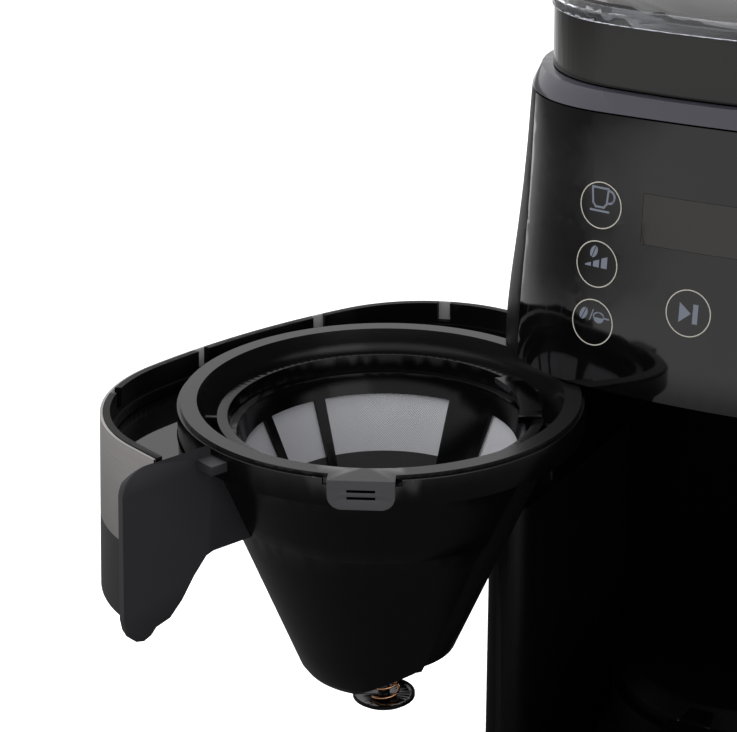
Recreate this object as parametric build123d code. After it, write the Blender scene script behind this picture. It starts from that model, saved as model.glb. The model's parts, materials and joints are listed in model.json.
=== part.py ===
from build123d import *
import math
import os

# Drip coffee maker with a swing-out brew drawer. Millimetres, +Z up, front towards -Y.
# The origin is on the table, under the axis that the basket and the jug share when the drawer is shut.
# Drawer parts are modelled shut and then swung to the open rest pose.

# ---- plan of the body ----
HALF_W = 100.0
FRONT_Y = -86.0
BACK_Y = 185.0
BOW_R = 300.0
BACK_CORNER_R = 28.0
BACK_FLARE = 0.3
WALL = 2.6
FIT = 0.3
SEAT = 0.2

# height, how far the walls stand inside the plan (outside it low down), and the front corners' radius
LOWER_FORM = [(0.0, -5.0, 66.0), (225.0, -2.4, 63.4), (296.3, 0.9, 60.1)]
HEAD_FORM = [(296.0, 2.8, 63.5), (330.0, 5.6, 61.0), (365.0, 9.6, 56.5), (400.0, 12.3, 53.0), (407.0, 12.9, 52.3)]

# ---- heights ----
FOOT_H = 3.0
BASE_LOW = FOOT_H + SEAT
BASE_TOP = 30.0
PILLAR_TOP = 220.0
DRAWER_LOW = 225.0
DRAWER_TOP = 295.0
HEAD_LOW = 296.3
SEAM_Z = 399.8
SEAM_DROP = 2.5
COLLAR_LOW = 406.5
COLLAR_TOP = 430.0
LID_H = 7.0

# ---- bay, pillars and hinge ----
BAY_HALF_W = 82.0
BAY_BACK = 62.0
SCOOP_R = 82.5
PILLAR_FRONT = -45.0
LEFT_CHEEK_FRONT = -10.0
RIGHT_CHEEK_FRONT = 2.5
NOSE_R = 8.0
HINGE_X = -94.4
HINGE_Y = -23.5
PIN_R = 2.0
RUN_FIT = 0.05
KNUCKLE_R = 5.4
OPEN_ANGLE = 110.5

# ---- drawer ----
SKIN = 1.0
DRAWER_WALL = 2.6
BAND_LOW = 255.5
BAND_TOP = 294.7
DRAWER_BACK = -6.0
END_CUT_Y = -26.0
END_CUT_Z = 234.5
HINGE_SIDE_BACK = -12.0
TRAY_Z = 282.0
TRAY_T = 2.4
NOTCHES = [(73.8, -69.2), (23.7, -83.2), (-34.3, -80.0), (-84.5, -59.2)]
NOTCH_W = 5.2
NOTCH_H = 8.0
PLATE_WING = 114.3
PLATE_EDGE = [(117.0, 238.0), (116.2, 233.5), (114.6, 230.3), (112.2, 228.2), (108.9, 227.4), (105.7, 228.7),
              (103.4, 231.1), (97.2, 232.8), (91.6, 238.2), (85.9, 246.0), (80.2, 252.2), (77.0, 253.2), (57.4, 253.2)]
PLATE_WING_R = 11.0
END_PLATE_T = 2.75
PLATE_BEVEL = 5.0

# ---- cradle and basket ----
RING_R = 75.0
RING_IN_R = 69.0
RING_T = 1.5
RIM_R = 76.3
RIM_IN_R = 71.4
CRADLE_STEP_Z = 253.5
CRADLE_LOW = 182.0
CRADLE_T = 2.2
CRADLE_CUT_Y = -22.0
CUT_LOW_X = 5.0
CUT_HIGH_X = 27.5
CUT_HIGH_Z = 195.0
BASKET_T = 1.8
BASKET_R = 70.6
BASKET_FLOOR = 188.0
BASKET_LOW_R = 28.4
BASKET_CYL_LOW = 281.0
CONE_TOP_R = 67.0
OUTLET_R = 12.0
OUTLET_H = 5.0
HUB_T = 2.0
TAB_ANGLE = 45.0
TAB_W = 23.6

# ---- drip stop ----
VALVE_Z = 165.3
VALVE_DISC_R = 12.3
VALVE_DISC_T = 2.6
STEM_R = 2.4
VALVE_HOLE_R = 8.0
SEAL_R = 10.0
SEAL_T = 2.0
SPRING_R = 5.9
WIRE_R = 0.5

# ---- permanent filter ----
FILTER_Z = 288.0
FILTER_R = 61.2
FILTER_LOW = 205.0
FILTER_LOW_R = 22.0
FILTER_T = 1.6
FILTER_RIBS = 5
MESH_T = 0.35
MESH_GAP = 0.1

# ---- head ----
PANEL_T = 2.4
PANEL_HALF_W = 76.0
DISPLAY_W = 42.0
DISPLAY_LOW = 354.2
DISPLAY_TOP = 373.0
KEY_R = 8.6
KEY_X = 38.3
KEY_Z = [321.5, 343.5, 365.5]
START_Z = 332.0
KEY_T = 1.6
SHOULDER_UP = 3.4
SHOULDER_IN = 7.4
COLLAR_T = 2.2
COLLAR_INSET = 20.0
SIDE_CORNER = 65.3
COLLAR_BACK = 177.0
LID_SPLIT = 48.0
LID_GAP = 6.0
LID_REAR = 173.0
LID_T = 2.0
ROOF_BEVEL = 2.0

BARREL_HALF = 28.0
BARREL_R = 2.1
LID_ROD_R = 0.9
LID_PIN_HIGH = COLLAR_TOP + 4.0

# ---- grinder ----
BURR_Y = 40.0
MOTOR_R = 27.0
MOTOR_TOP = 350.0
CHAMBER_R = 31.0
CHAMBER_T = 4.0
CHAMBER_TOP = 386.0
SHAFT_R = 4.0
THROAT_HALF = 13.0
THROAT_Y = 25.0

# ---- tank, heater, jug ----
TANK_HALF_W = 74.0
TANK_FRONT = 92.0
TANK_BACK = 170.0
TANK_TOP = 418.0
TANK_T = 2.0
PLATE_R = 63.0
PLATE_TOP = 30.6
PLATE_T = 3.0
HEATER_R = 44.0
HEATER_TUBE_R = 5.5
HEATER_Z = PLATE_TOP - PLATE_T - HEATER_TUBE_R - SEAT
HOSE_R = 5.0
RISER_R = 4.0
RISER_X = -60.0
RISER_Y = 75.0
RISER_TOP = 305.0
JUG_LOW = PLATE_TOP + FIT
JUG_R = 71.0
JUG_NECK_R = 52.0
JUG_TOP = 139.0
JUG_T = 2.2
LID_PIN_R = 1.5
LID_PIN_Z = JUG_TOP + 10.0
LID_PIN_Y = -57.0

# ---- base fittings ----
INLET_X = 60.0
INLET_Z = 17.0
INLET_R = 6.5
INLET_BORE_R = 3.6
INLET_LEN = 9.0
INLET_DEPTH = 1.6
COVER_TOP = 6.0
FOOT_R = 8.0
FEET = [(-78, -52), (78, -52), (-78, 160), (78, 160)]
SCREWS = [(-50, -62), (50, -62), (-86, 60), (86, 60), (-50, 168), (50, 168)]
SCREW_HEAD_R = 3.6
BOARD_POSTS = [(-20, 110), (20, 110), (-20, 150), (20, 150)]
POST_TOP = 10.0

# ---- heating ----
HEATER_LEG = 40.0
PIPE_TURN_Y = 60.0

# ---- shower ----
SHOWER_R = 19.0
SHOWER_BOSS_R = 11.0
SHOWER_PORT_Y = 0.0
SHOWER_LOW = HEAD_LOW + 0.2
SHOWER_HOLES = 8

# ---- head shell ----
HEAD_FLOOR_T = 3.0
LIP = 8.0

# ---- control board ----
BOARD_Y = -57.0
BOARD_T = 1.6
BOARD_HALF_W = 50.0
BOARD_LOW = 312.0
BOARD_TOP = 382.0

# ---- hopper and deck ----
DECK_Z = COLLAR_TOP - 10.0
DECK_T = 2.4
HOPPER_HALF_W = 66.0
HOPPER_FRONT = -50.0
HOPPER_BACK = 38.0
HOPPER_T = 2.0

# ---- coffee chute ----
CHUTE_X0 = CHAMBER_R + 0.5
CHUTE_X1 = CHUTE_X0 + 17.0
CHUTE_Y0 = 26.0
CHUTE_Y1 = 43.0
CHUTE_TOP = 372.0
CHAMBER_LOW = MOTOR_TOP + SEAT
PORT_Z = CHAMBER_LOW + CHAMBER_T

# ---- tank floor ----
TANK_LOW = BASE_TOP + SEAT

# ---- filter seat ----
FILTER_STOPS = 12
FILTER_REST = 284.0

# ---- drip stop levels ----
STOP_LOW = VALVE_Z + VALVE_DISC_T
SEAL_LOW = BASKET_FLOOR + 2 + SEAT

# ---- filter form ----
FILTER_STEP_R = FILTER_R - 5.2
FILTER_BAND_Z = 280.0
FILTER_MESH_TOP = 273.8

# ---- filter windows: start and end in degrees on each side of the solid face ----
FILTER_FACE = 186.5
FILTER_WINDOWS = [(12.0, 69.0), (74.0, 99.0), (104.0, 174.0)]

# ---- jug fittings ----
BAND_Z0 = JUG_TOP - 9.0
BAND_Z1 = JUG_TOP + 3.0
BAND_R = JUG_NECK_R + 3.0
GRIP_Y = -92.0
GRIP_LOW = 62.0
GRIP_EDGE_R = 1.8
GRIP_HALF_W = 9.0

# ---- cradle form ----
RIM_TOP = DRAWER_TOP - RING_T
CONE_LOW_R = 33.0
CONE_STEP_R = 59.1
CONE_TOP_OUT_R = 72.5
ARM_X = 52.0
CLIP_X = 83.0
CLIP_BACK = 6.0
CLIP_Z = 287.5
CLIP_T = 3.5
LUG_HALF_W = 20.0

# ---- reach of cutting blocks, past the whole machine ----
FAR = 160.0
HIGH = 500.0

os.makedirs("parts", exist_ok=True)


def write(name, shape):
    """Write one piece, or a group of like pieces, to its own STEP file."""
    export_step(shape, f"parts/{name}.step")


def swing(shape):
    """Turn a drawer piece from shut to the open rest pose."""
    return shape.rotate(Axis((HINGE_X, HINGE_Y, 0), (0, 0, 1)), -OPEN_ANGLE)


def form(z, column):
    """A column of the body's form at a height, straight between the listed heights."""
    table = LOWER_FORM if z < HEAD_LOW else HEAD_FORM
    for low, high in zip(table, table[1:]):
        if z <= high[0]:
            return low[column] + (high[column] - low[column]) * (z - low[0]) / (high[0] - low[0])
    return table[-1][column]


def flare(z):
    """Inset of the body's walls at a height."""
    return form(z, 1)


def outline(z, inset=0.0, side=None, back=None):
    """The body's plan at a height: bowed front, round corners, straight sides and back."""
    total = (flare(z) if side is None else side) + inset
    half = HALF_W - total
    front = FRONT_Y + total
    rear = (BACK_Y - BACK_FLARE * (total - inset) if back is None else back) - inset
    bow = BOW_R - total
    corner = form(z, 2) - inset if side is None else SIDE_CORNER - total
    rear_r = max(BACK_CORNER_R - total, WALL)
    bow_y = front + bow
    cx = half - corner
    cy = bow_y - math.sqrt((bow - corner) ** 2 - cx**2)
    lean = math.atan2(cx, bow_y - cy)
    bow_end = (bow * math.sin(lean), bow_y - bow * math.cos(lean))
    mid = (lean + math.pi / 2) / 2
    corner_mid = (cx + corner * math.sin(mid), cy - corner * math.cos(mid))
    diag = rear_r * (1 - math.sqrt(0.5))
    right = [
        ThreePointArc(bow_end, corner_mid, (half, cy)),
        Line((half, cy), (half, rear - rear_r)),
        ThreePointArc((half, rear - rear_r), (half - diag, rear - diag), (half - rear_r, rear)),
    ]
    left = [
        ThreePointArc((-half + rear_r, rear), (-half + diag, rear - diag), (-half, rear - rear_r)),
        Line((-half, rear - rear_r), (-half, cy)),
        ThreePointArc((-half, cy), (-corner_mid[0], corner_mid[1]), (-bow_end[0], bow_end[1])),
    ]
    bow_arc = ThreePointArc((-bow_end[0], bow_end[1]), (0, front), bow_end)
    rear_line = Line((half - rear_r, rear), (-half + rear_r, rear))
    return Pos(0, 0, z) * Face(Wire([bow_arc, *right, rear_line, *left]))


def body(z0, z1, inset=0.0):
    """The flared body between two heights."""
    if z0 < DRAWER_TOP:
        heights = [z0] + [row[0] for row in LOWER_FORM if z0 + 1 < row[0] < z1 - 1] + [z1]
        return loft([low_outline(z, inset) for z in heights], ruled=True)
    whole = loft([outline(HEAD_LOW, inset)] + [outline(row[0], inset) for row in HEAD_FORM[1:]])
    return whole & block(-2 * HALF_W, 2 * HALF_W, -2 * HALF_W, 2 * HALF_W, z0, z1)


def low_outline(z, inset):
    """The plan of the lower form at a height, also a little above its top."""
    return Pos(0, 0, max(z - HEAD_LOW + SEAT, 0)) * outline(min(z, HEAD_LOW - SEAT), inset)


def block(x0, x1, y0, y1, z0, z1):
    """A box between two corners."""
    return Pos((x0 + x1) / 2, (y0 + y1) / 2, (z0 + z1) / 2) * Box(x1 - x0, y1 - y0, z1 - z0)


def rod(x, y, z0, z1, r):
    """An upright cylinder."""
    return Pos(x, y, (z0 + z1) / 2) * Cylinder(r, z1 - z0)


def turned(points):
    """A solid turned about the brew axis from (radius, height) points."""
    return revolve(make_face(Plane.XZ * Polyline(*points, close=True)), Axis.Z)


def tube(points, r, bend):
    """A round bar along straight runs joined by arcs."""
    path = FilletPolyline(*points, radius=bend)
    return sweep(Plane(path @ 0, z_dir=path % 0) * Circle(r), path=path)


def under_arch(drop_gap=0.0):
    """Everything under the arched seam on top of the head."""
    reach = HALF_W + 20
    radius = HALF_W**2 / (2 * SEAM_DROP)
    side_z = SEAM_Z - drop_gap - (radius - math.sqrt(radius**2 - reach**2))
    arc = ThreePointArc((-reach, side_z), (0, SEAM_Z - drop_gap), (reach, side_z))
    frame = Polyline((reach, side_z), (reach, 0), (-reach, 0), (-reach, side_z))
    face = make_face(Plane.XZ * (Curve() + [arc, frame]))
    return extrude(face, BACK_Y * 2, both=True)


# ================= base =================
def make_base():
    inlet_y = BACK_Y - BACK_FLARE * flare(INLET_Z) - INLET_DEPTH
    shell = body(BASE_LOW, BASE_TOP) - body(BASE_LOW - 1, BASE_TOP - WALL, WALL)
    shell -= rod(0, 0, BASE_TOP - 10, BASE_TOP + 1, PLATE_R + 0.5)
    shell -= rod(RISER_X, RISER_Y, BASE_TOP - 10, BASE_TOP + 1, RISER_R + 2)
    shell -= rod(-RISER_X, TANK_FRONT + 18, BASE_TOP - 10, BASE_TOP + 1, HOSE_R + 2)
    inlet = Pos(INLET_X, BACK_Y, INLET_Z) * Rot(90, 0, 0) * Cylinder(INLET_R, 30)
    write("base_housing", shell - inlet)
    bush = Pos(INLET_X, inlet_y, INLET_Z) * Rot(90, 0, 0) * (
        Cylinder(INLET_R - RUN_FIT, INLET_LEN) + Pos(0, 0, -INLET_LEN / 2) * Cylinder(INLET_R + 2, 2)
    )
    bush -= Pos(INLET_X, inlet_y, INLET_Z) * Rot(90, 0, 0) * Cylinder(INLET_BORE_R, 30)
    write("cable_inlet", bush)


def make_cover():
    cover = body(FOOT_H, COVER_TOP, WALL + FIT)
    for x in range(-40, 41, 10):
        cover -= block(x - 1.5, x + 1.5, -40, 40, 0, COVER_TOP + 1)
    for x, y in SCREWS:
        cover -= rod(x, y, FOOT_H - 1, FOOT_H + 1.5, SCREW_HEAD_R + 0.2)
        cover -= rod(x, y, FOOT_H - 1, COVER_TOP + 1, 1.6)
    for x, y in BOARD_POSTS:
        cover += rod(x, y, COVER_TOP, POST_TOP, 3)
    write("base_cover", cover)
    write("feet", Compound([rod(x, y, 0, FOOT_H, FOOT_R) for x, y in FEET]))
    screws = []
    for x, y in SCREWS:
        screw = rod(x, y, FOOT_H, FOOT_H + 1.5, SCREW_HEAD_R) + rod(x, y, FOOT_H + 1, 14, 1.5)
        screws.append(screw - block(x - 2, x + 2, y - 0.4, y + 0.4, FOOT_H - 1, FOOT_H + 0.7))
    write("base_screws", Compound(screws))
    board = block(-32, 32, 102, 158, POST_TOP, POST_TOP + 1.6)
    board += rod(-14, 124, POST_TOP + 1.6, POST_TOP + 14, 7) + block(4, 24, 116, 140, POST_TOP, POST_TOP + 12)
    write("power_board", board)


# ================= heating =================
def make_heating():
    plate = rod(0, 0, PLATE_TOP - PLATE_T, PLATE_TOP, PLATE_R)
    plate = fillet(plate.edges().group_by(Axis.Z)[-1], 1.2)
    plate -= rod(0, 0, PLATE_TOP - 0.8, PLATE_TOP + 1, PLATE_R - 5)
    write("warming_plate", plate)
    arc = ThreePointArc((-HEATER_R, 0), (0, -HEATER_R), (HEATER_R, 0))
    legs = [Line((-HEATER_R, HEATER_LEG), (-HEATER_R, 0)), Line((HEATER_R, 0), (HEATER_R, HEATER_LEG))]
    path = Pos(0, 0, HEATER_Z) * Wire([legs[0], arc, legs[1]])
    section = Plane(path @ 0, z_dir=path % 0) * Circle(HEATER_TUBE_R)
    write("heater_element", sweep(section, path=path))
    cuts = [
        rod(HEATER_R * math.cos(a), HEATER_R * math.sin(a), HEATER_Z - HEATER_TUBE_R - 5, HEATER_Z - HEATER_TUBE_R, 7)
        for a in (math.radians(-30), math.radians(-150))
    ]
    write("thermal_cutouts", Compound(cuts))
    end_y = HEATER_LEG + SEAT
    hose_y = TANK_FRONT + 18
    hose = [
        (-RISER_X, hose_y, TANK_LOW),
        (-RISER_X, hose_y, HEATER_Z),
        (HEATER_R, PIPE_TURN_Y, HEATER_Z),
        (HEATER_R, end_y, HEATER_Z),
    ]
    write("inlet_hose", tube(hose, HOSE_R, HOSE_R + 0.1))
    riser = [
        (-HEATER_R, end_y, HEATER_Z),
        (-HEATER_R, PIPE_TURN_Y, HEATER_Z),
        (RISER_X, RISER_Y, HEATER_Z),
        (RISER_X, RISER_Y, RISER_TOP),
        (RISER_X, SHOWER_PORT_Y, RISER_TOP),
        (-SHOWER_BOSS_R - SEAT, SHOWER_PORT_Y, RISER_TOP),
    ]
    write("riser_tube", tube(riser, RISER_R, 6.0))


def make_shower():
    head = rod(0, 0, SHOWER_LOW, SHOWER_LOW + 2.6, SHOWER_R)
    head += rod(0, 0, SHOWER_LOW, RISER_TOP + RISER_R + 2, SHOWER_BOSS_R)
    head -= rod(0, 0, SHOWER_LOW + 1.2, RISER_TOP + RISER_R, SHOWER_BOSS_R - 2)
    head -= Pos(-SHOWER_BOSS_R, SHOWER_PORT_Y, RISER_TOP) * Rot(0, 90, 0) * Cylinder(RISER_R - 1, 6)
    for k in range(SHOWER_HOLES):
        a = 2 * math.pi * k / SHOWER_HOLES
        head -= rod(6 * math.cos(a), 6 * math.sin(a), SHOWER_LOW - 1, SHOWER_LOW + 2, 0.9)
    write("shower_head", head)


# ================= body shells =================
def make_pillar(side):
    x0, x1 = sorted((side * (HALF_W + 20), side * BAY_HALF_W))
    pillar = body(BASE_TOP, PILLAR_TOP) & block(x0, x1, PILLAR_FRONT, BAY_BACK - SEAT, 0, PILLAR_TOP + 1)
    nose = [e for e in pillar.edges() if e.length > 100 and e.center().Y < PILLAR_FRONT + 1]
    pillar = fillet(nose, NOSE_R)
    i0, i1 = sorted((side * (HALF_W + 20), side * (BAY_HALF_W + WALL)))
    hollow = body(BASE_TOP - 1, PILLAR_TOP - WALL, WALL)
    hollow &= block(i0, i1, PILLAR_FRONT + NOSE_R, BAY_BACK + 1, 0, PILLAR_TOP)
    pillar -= hollow
    if side < 0:
        pillar += rod(HINGE_X, HINGE_Y, PILLAR_TOP - 16, PILLAR_TOP - 1, PIN_R + 2.5) & body(BASE_TOP, PILLAR_TOP)
        pillar -= rod(HINGE_X, HINGE_Y, PILLAR_TOP - 14, PILLAR_TOP + 1, PIN_R + RUN_FIT)
    return pillar


def make_shells():
    write("left_pillar", make_pillar(-1))
    write("right_pillar", make_pillar(1))
    column = body(BASE_TOP, HEAD_LOW - SEAT) & block(-FAR, FAR, BAY_BACK, BACK_Y + WALL, 0, HIGH)
    column -= rod(0, 0, 0, HIGH, SCOOP_R)
    hollow = body(BASE_TOP - 1, HEAD_LOW + 1, WALL) & block(-FAR, FAR, BAY_BACK + WALL, BACK_Y + WALL, 0, HIGH)
    hollow -= rod(0, 0, 0, HIGH, SCOOP_R + WALL)
    cheeks = body(PILLAR_TOP + FIT, HEAD_LOW - SEAT) - body(PILLAR_TOP - 1, HEAD_LOW + 1, WALL)
    cheeks &= block(-FAR, 0, LEFT_CHEEK_FRONT, BAY_BACK + WALL, 0, HIGH) + block(
        0, FAR, RIGHT_CHEEK_FRONT, BAY_BACK + WALL, 0, HIGH)
    write("column_housing", (column - hollow) + cheeks)
    write("hinge_pin", rod(HINGE_X, HINGE_Y, PILLAR_TOP - 14 + SEAT, HEAD_LOW + 7, PIN_R))


def panel_zone(outer, inner, half):
    """The layer of the head's front between two insets."""
    layer = body(HEAD_LOW, SEAM_Z + 4, outer) - body(HEAD_LOW - 0.2, SEAM_Z + 5, inner)
    return layer & block(-half, half, FRONT_Y - 20, 0, 0, HIGH)


def make_head():
    wall = body(HEAD_LOW, SEAM_Z + 4) - body(HEAD_LOW - 0.2, SEAM_Z + 5, WALL)
    wall -= panel_zone(-1, WALL + 0.1, PANEL_HALF_W + 0.15)
    lip = panel_zone(WALL, WALL + 2.2, PANEL_HALF_W + LIP)
    lip -= block(-PANEL_HALF_W + LIP, PANEL_HALF_W - LIP, -FAR, 0, HEAD_LOW + 12, SEAM_Z - 12)
    floor = body(HEAD_LOW, HEAD_LOW + HEAD_FLOOR_T, WALL) & block(-FAR, FAR, -FAR, SCOOP_R + WALL, 0, HIGH)
    floor -= rod(RISER_X, RISER_Y, 0, HIGH, RISER_R + 1)
    floor -= rod(0, 0, 0, HIGH, SHOWER_R + 0.5)
    floor -= block(CHUTE_X0 + 2, CHUTE_X1 - 2, CHUTE_Y0 + 2, CHUTE_Y1 - 2, 0, HIGH)
    floor += rod(HINGE_X, HINGE_Y, HEAD_LOW, HEAD_LOW + 10, PIN_R + 2.5) & body(HEAD_LOW, HEAD_LOW + 12, 0.4)
    head = (wall + lip + floor) & under_arch()
    head -= rod(HINGE_X, HINGE_Y, HEAD_LOW - 1, HEAD_LOW + 7.5, PIN_R + RUN_FIT)
    write("head_housing", head)


def key_places():
    places = [(side * KEY_X, z) for side in (-1, 1) for z in KEY_Z]
    return places + [(0.0, START_Z)]


def forward_rod(x, z, r):
    """A cylinder along Y through the front of the head."""
    return Pos(x, FRONT_Y / 2 - 40, z) * Rot(90, 0, 0) * Cylinder(r, 90)


def make_panel():
    panel = panel_zone(0, PANEL_T, PANEL_HALF_W) & under_arch(SEAT)
    window = block(-DISPLAY_W / 2, DISPLAY_W / 2, -FAR, 0, DISPLAY_LOW, DISPLAY_TOP)
    panel -= window
    for x, z in key_places():
        panel -= forward_rod(x, z, KEY_R + 0.1)
    write("front_panel", panel)
    gap = 0.12
    pane = block(-DISPLAY_W / 2 + gap, DISPLAY_W / 2 - gap, -FAR, 0, DISPLAY_LOW + gap, DISPLAY_TOP - gap)
    write("display_window", panel_zone(0, KEY_T, PANEL_HALF_W) & pane)
    layer = panel_zone(0, KEY_T, PANEL_HALF_W)
    write("touch_keys", Compound([s for x, z in key_places() for s in (layer & forward_rod(x, z, KEY_R)).solids()]))


def make_electronics():
    board = block(-BOARD_HALF_W, BOARD_HALF_W, BOARD_Y, BOARD_Y + BOARD_T, BOARD_LOW, BOARD_TOP)
    for k in range(4):
        x = -36 + 24 * k
        board += block(x - 5, x + 5, BOARD_Y + BOARD_T, BOARD_Y + BOARD_T + 4, BOARD_LOW + 8, BOARD_LOW + 18)
    write("control_board", board)
    module = block(-DISPLAY_W / 2 + 2, DISPLAY_W / 2 - 2, BOARD_Y - 13, BOARD_Y, DISPLAY_LOW + 1, DISPLAY_TOP - 1)
    write("display_module", module)
    inside = body(HEAD_LOW + 2, SEAM_Z, PANEL_T + RUN_FIT)
    posts = []
    for x in (-BOARD_HALF_W + 5, BOARD_HALF_W - 5):
        for z in (BOARD_LOW + 4, BOARD_TOP - 4):
            post = Pos(x, BOARD_Y - 20, z) * Rot(90, 0, 0) * Cylinder(3, 40)
            posts.append((post & inside).solids()[0])
    write("board_standoffs", Compound(posts))


def make_top():
    side = flare(SEAM_Z)
    ring = extrude(outline(SEAM_Z - 8, 0, side), COLLAR_LOW - SEAM_Z + 8)
    top_edges = ring.faces().sort_by(Axis.Z)[-1].edges()
    ring = chamfer(top_edges, SHOULDER_UP, SHOULDER_IN, reference=ring.faces().sort_by(Axis.Z)[-1])
    ring -= extrude(outline(SEAM_Z - 20, 0, COLLAR_INSET + COLLAR_T, COLLAR_BACK - COLLAR_T), 60)
    write("shoulder_ring", ring - under_arch(-FIT))
    collar = extrude(outline(COLLAR_LOW, 0, COLLAR_INSET, COLLAR_BACK), COLLAR_TOP - COLLAR_LOW)
    collar -= extrude(outline(COLLAR_LOW - 1, 0, COLLAR_INSET + COLLAR_T, COLLAR_BACK - COLLAR_T), 60)
    bridge = block(-HALF_W, HALF_W, LID_SPLIT - 6, LID_SPLIT + 6, DECK_Z, COLLAR_TOP)
    collar += bridge & extrude(outline(COLLAR_LOW, 0, COLLAR_INSET + 1, COLLAR_BACK - 1), 60)
    for rear, back in ((LID_SPLIT, LID_SPLIT + 5), (LID_REAR, LID_REAR + 5)):
        for side in (-1, 1):
            x0, x1 = sorted((side * (BARREL_HALF + SEAT), side * (BARREL_HALF + 4.5)))
            collar += block(x0, x1, rear + 1, back, COLLAR_TOP - 6, LID_PIN_HIGH + BARREL_R)
        collar -= cross_rod(rear + 3, LID_PIN_HIGH, BARREL_HALF + 4, LID_ROD_R)
    write("collar", collar)


def rounded(x0, x1, y0, y1, z, r):
    return Pos((x0 + x1) / 2, (y0 + y1) / 2, z) * RectangleRounded(x1 - x0, y1 - y0, r)


def hopper_form(inset, z0, z1):
    top = rounded(
        -HOPPER_HALF_W + inset, HOPPER_HALF_W - inset, HOPPER_FRONT + inset, HOPPER_BACK - inset, z1, 24 - inset
    )
    throat = THROAT_HALF - inset
    low = rounded(-throat, throat, THROAT_Y - throat, THROAT_Y + throat, z0, 8 - inset)
    return loft([low, top])


def make_hopper():
    deck = extrude(outline(DECK_Z - DECK_T - SEAT, 0, COLLAR_INSET + COLLAR_T + SEAT, COLLAR_BACK - COLLAR_T - SEAT), DECK_T)
    reach = HOPPER_HALF_W + FIT
    deck -= extrude(rounded(-reach, reach, HOPPER_FRONT - FIT, HOPPER_BACK + FIT, DECK_Z - 10, 24), 20)
    tank = TANK_HALF_W + FIT
    deck -= extrude(rounded(-tank, tank, TANK_FRONT - FIT, TANK_BACK + FIT, DECK_Z - 10, 16), 20)
    write("top_deck", deck)
    throat = CHAMBER_TOP + SEAT
    flange = extrude(
        rounded(-HOPPER_HALF_W - 4, HOPPER_HALF_W + 4, HOPPER_FRONT - 4, HOPPER_BACK + 3, DECK_Z, 30), 1.6
    )
    bowl = hopper_form(0, throat, DECK_Z) + flange
    bowl -= hopper_form(HOPPER_T, throat - 0.01, DECK_Z + 2)
    write("hopper", bowl)


def make_grinder():
    motor = rod(0, BURR_Y, HEAD_LOW + HEAD_FLOOR_T, MOTOR_TOP, MOTOR_R)
    motor = fillet(motor.edges().group_by(Axis.Z)[-1], 3)
    motor -= rod(0, BURR_Y, MOTOR_TOP - 20, MOTOR_TOP + 1, SHAFT_R + RUN_FIT)
    write("grinder_motor", motor)
    chamber = rod(0, BURR_Y, CHAMBER_LOW, CHAMBER_TOP, CHAMBER_R)
    chamber -= rod(0, BURR_Y, PORT_Z, CHAMBER_TOP + 1, CHAMBER_R - CHAMBER_T)
    chamber -= rod(0, BURR_Y, CHAMBER_LOW - 1, PORT_Z + 1, SHAFT_R + RUN_FIT)
    port = block(0, CHUTE_X1 - 3, CHUTE_Y0 + 3, CHUTE_Y1 - 3, PORT_Z, PORT_Z + 10)
    write("burr_housing", chamber - port)
    upper = rod(0, BURR_Y, CHAMBER_TOP - 12, CHAMBER_TOP - 2, CHAMBER_R - CHAMBER_T - FIT)
    upper -= Pos(0, BURR_Y, CHAMBER_TOP - 7) * Cone(20, 10, 10.02)
    write("upper_burr", upper)
    shaft = rod(0, BURR_Y, MOTOR_TOP - 19, PORT_Z + 14, SHAFT_R)
    write("grinder_shaft", shaft)
    lower = rod(0, BURR_Y, PORT_Z + 4, PORT_Z + 10, CHAMBER_R - CHAMBER_T - 2)
    lower += Pos(0, BURR_Y, PORT_Z + 15) * Cone(17, 8, 10)
    for k in range(12):
        cut = Pos(0, BURR_Y, PORT_Z + 16) * Rot(0, 0, 30 * k) * Pos(18, 0, 0) * Rot(0, -38, 25) * Box(20, 2, 2.4)
        lower -= cut
    lower -= rod(0, BURR_Y, PORT_Z, PORT_Z + 30, SHAFT_R + RUN_FIT)
    write("lower_burr", lower)
    chute = block(CHUTE_X0, CHUTE_X1, CHUTE_Y0, CHUTE_Y1, HEAD_LOW + HEAD_FLOOR_T, CHUTE_TOP)
    chute -= block(CHUTE_X0 + 2, CHUTE_X1 - 2, CHUTE_Y0 + 2, CHUTE_Y1 - 2, 0, CHUTE_TOP - 2)
    chute -= block(0, CHUTE_X1 - 3, CHUTE_Y0 + 3, CHUTE_Y1 - 3, PORT_Z, PORT_Z + 10)
    write("coffee_chute", chute)


def lid_plan(y0, y1, inset, z):
    """The part of the lid's plan that lies between two lines across the body."""
    plan = outline(z, 0, COLLAR_INSET - 1 + inset, LID_REAR - inset)
    return plan & (Pos(0, (y0 + y1) / 2, z) * Rectangle(4 * HALF_W, y1 - y0))


def make_lid(y0, y1):
    low = COLLAR_TOP + FIT
    lid = extrude(lid_plan(y0, y1, 0, low), LID_H)
    top = lid.faces().sort_by(Axis.Z)[-1]
    lid = chamfer(top.edges(), 3.5)
    hollow = extrude(lid_plan(y0 + LID_T, y1 - LID_T, LID_T, low), LID_H - LID_T)
    roof = hollow.faces().sort_by(Axis.Z)[-1]
    return lid - chamfer(roof.edges(), ROOF_BEVEL)


def cross_rod(y, z, half, r):
    """A cylinder along X."""
    return Pos(0, y, z) * Rot(0, 90, 0) * Cylinder(r, 2 * half)


def with_barrel(lid, rear):
    """A lid with the barrel of its hinge along its rear edge."""
    low, top = LID_PIN_HIGH - 1.6, LID_PIN_HIGH + 1.6
    lid += block(-BARREL_HALF, BARREL_HALF, rear - 3, rear + 3, low, top) + cross_rod(
        rear + 3, LID_PIN_HIGH, BARREL_HALF, BARREL_R)
    return lid - cross_rod(rear + 3, LID_PIN_HIGH, HALF_W, LID_ROD_R + RUN_FIT)


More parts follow.
